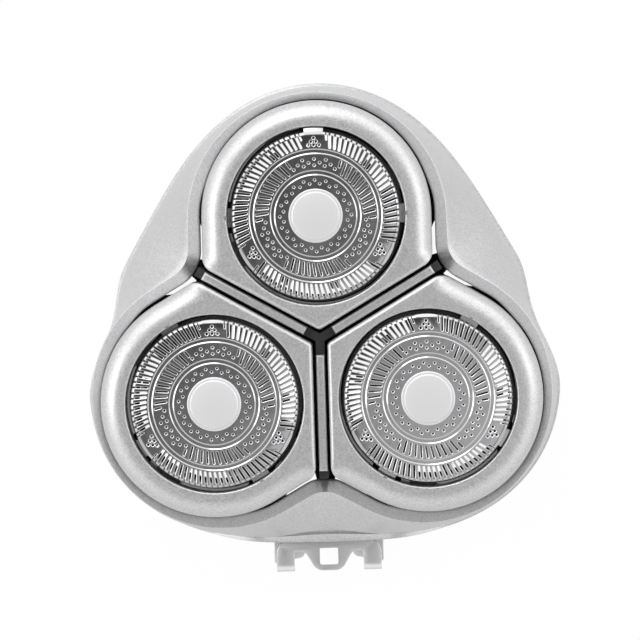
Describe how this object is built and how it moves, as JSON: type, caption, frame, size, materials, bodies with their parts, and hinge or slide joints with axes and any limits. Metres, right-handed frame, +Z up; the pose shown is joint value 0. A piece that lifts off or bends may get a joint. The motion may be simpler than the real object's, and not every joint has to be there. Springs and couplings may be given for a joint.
{
  "type": "rotary shaver head",
  "caption": "Rotary shaver head: slotted round steel guards in tilting pods, a flared silver housing and a sheet-metal hinge clip under its rim.",
  "frame": {"origin": "under the middle of the whole length, clip included, in the plane of the housing's foot", "axes": "+Z up through the guards' faces, +Y away from the hinge clip, +X to the right seen from above with the clip towards the viewer"},
  "size_m": [0.0666, 0.0688, 0.0231],
  "materials": {
    "silver_paint": "satin silver paint with fine metal flake on a plastic moulding",
    "black_plastic": "matt black moulding",
    "bar_silver": "satin silver paint",
    "screw_steel": "plain bright steel",
    "spring_steel": "rolled spring strip",
    "clip_steel": "bright plated sheet",
    "grey_plastic": "plain grey moulding",
    "guard_steel": "polished steel with turned marks",
    "hub_cap_steel": "bright satin disc",
    "cutter_steel": "ground steel",
    "white_plastic": "natural white acetal"
  },
  "bodies": {
    "head": {"head_housing": "silver_paint", "chassis": "black_plastic", "groove_bar_1": "bar_silver", "groove_bar_2": "bar_silver", "groove_bar_3": "bar_silver", "chassis_screw_1": "screw_steel", "chassis_screw_2": "screw_steel", "chassis_screw_3": "screw_steel", "pod_spring_1": "spring_steel", "pod_spring_2": "spring_steel", "pod_spring_3": "spring_steel", "hinge_pin": "screw_steel"},
    "pod_1": {"pod_cap_1": "silver_paint"},
    "pod_2": {"pod_cap_2": "silver_paint"},
    "pod_3": {"pod_cap_3": "silver_paint"},
    "ring_1": {"retaining_ring_1": "grey_plastic"},
    "ring_2": {"retaining_ring_2": "grey_plastic"},
    "ring_3": {"retaining_ring_3": "grey_plastic"},
    "guard_1": {"guard_1": "guard_steel", "guard_hub_cap_1": "hub_cap_steel"},
    "guard_2": {"guard_2": "guard_steel", "guard_hub_cap_2": "hub_cap_steel"},
    "guard_3": {"guard_3": "guard_steel", "guard_hub_cap_3": "hub_cap_steel"},
    "cutter_1": {"cutter_blades_1": "cutter_steel", "cutter_coupling_1": "white_plastic"},
    "cutter_2": {"cutter_blades_2": "cutter_steel", "cutter_coupling_2": "white_plastic"},
    "cutter_3": {"cutter_blades_3": "cutter_steel", "cutter_coupling_3": "white_plastic"},
    "clip": {"hinge_clip": "clip_steel"}
  },
  "joints": [
    {"name": "pod_1_tilt", "type": "hinge", "parent": "head", "child": "pod_1", "pos_m": [0, 0.00602, 0.01485], "axis": [-1, 0, 0], "range_deg": [0, 5], "stiffness_Nm_per_rad": 0.03, "springref_deg": -5.73, "deforming": ["pod_spring_1"]},
    {"name": "pod_2_tilt", "type": "hinge", "parent": "head", "child": "pod_2", "pos_m": [-0.00599, -0.00436, 0.01485], "axis": [0.5, -0.866, 0], "range_deg": [0, 5], "stiffness_Nm_per_rad": 0.03, "springref_deg": -5.73, "deforming": ["pod_spring_2"]},
    {"name": "pod_3_tilt", "type": "hinge", "parent": "head", "child": "pod_3", "pos_m": [0.00599, -0.00436, 0.01485], "axis": [0.5, 0.866, 0], "range_deg": [0, 5], "stiffness_Nm_per_rad": 0.03, "springref_deg": -5.73, "deforming": ["pod_spring_3"]},
    {"name": "ring_1_turn", "type": "hinge", "parent": "pod_1", "child": "ring_1", "pos_m": [0, 0.01602, 0.0172], "axis": [0, 0, 1], "range_deg": [-25, 0]},
    {"name": "ring_2_turn", "type": "hinge", "parent": "pod_2", "child": "ring_2", "pos_m": [-0.01465, -0.00936, 0.0172], "axis": [0, 0, 1], "range_deg": [-25, 0]},
    {"name": "ring_3_turn", "type": "hinge", "parent": "pod_3", "child": "ring_3", "pos_m": [0.01465, -0.00936, 0.0172], "axis": [0, 0, 1], "range_deg": [-25, 0]},
    {"name": "guard_1_float", "type": "slide", "parent": "pod_1", "child": "guard_1", "axis": [0, 0, 1], "range_m": [0, 0.001]},
    {"name": "guard_2_float", "type": "slide", "parent": "pod_2", "child": "guard_2", "axis": [0, 0, 1], "range_m": [0, 0.001]},
    {"name": "guard_3_float", "type": "slide", "parent": "pod_3", "child": "guard_3", "axis": [0, 0, 1], "range_m": [0, 0.001]},
    {"name": "cutter_1_spin", "type": "hinge", "parent": "guard_1", "child": "cutter_1", "pos_m": [0, 0.01602, 0.0194], "axis": [0, 0, 1], "continuous": true},
    {"name": "cutter_2_spin", "type": "hinge", "parent": "guard_2", "child": "cutter_2", "pos_m": [-0.01465, -0.00936, 0.0194], "axis": [0, 0, 1], "continuous": true},
    {"name": "cutter_3_spin", "type": "hinge", "parent": "guard_3", "child": "cutter_3", "pos_m": [0.01465, -0.00936, 0.0194], "axis": [0, 0, 1], "continuous": true},
    {"name": "clip_swing", "type": "hinge", "parent": "head", "child": "clip", "pos_m": [0, -0.02712, 0.0034], "axis": [1, 0, 0], "range_deg": [0, 75]}
  ]
}
